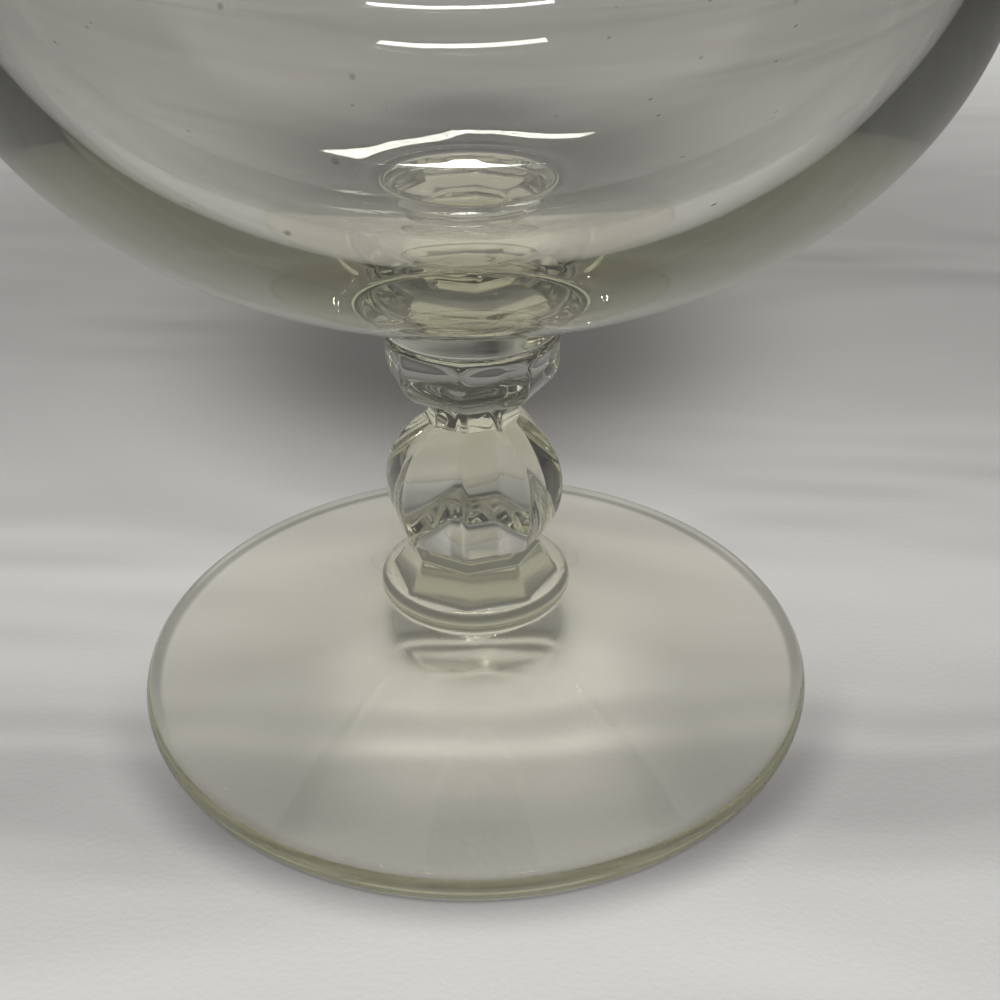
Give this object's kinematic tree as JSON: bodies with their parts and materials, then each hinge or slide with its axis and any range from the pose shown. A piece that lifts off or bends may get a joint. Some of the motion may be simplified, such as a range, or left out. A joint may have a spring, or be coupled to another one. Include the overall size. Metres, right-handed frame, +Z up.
{
  "type": "goblet",
  "caption": "Clear pressed-glass goblet with a round balloon bowl, a short panelled stem with a ball knop, and a swept disc foot, for drinks.",
  "frame": {"origin": "centre of the ring that the foot stands on", "axes": "+Z up along the goblet's axis of revolution, -Y towards one corner of the panelled stem"},
  "size_m": [0.0948, 0.0948, 0.138],
  "materials": {
    "glass": "clear fire-polished soda-lime glass with a faint yellow-green tint"
  },
  "bodies": {
    "root": {"bowl": "glass", "stem": "glass", "foot": "glass"}
  },
  "joints": []
}
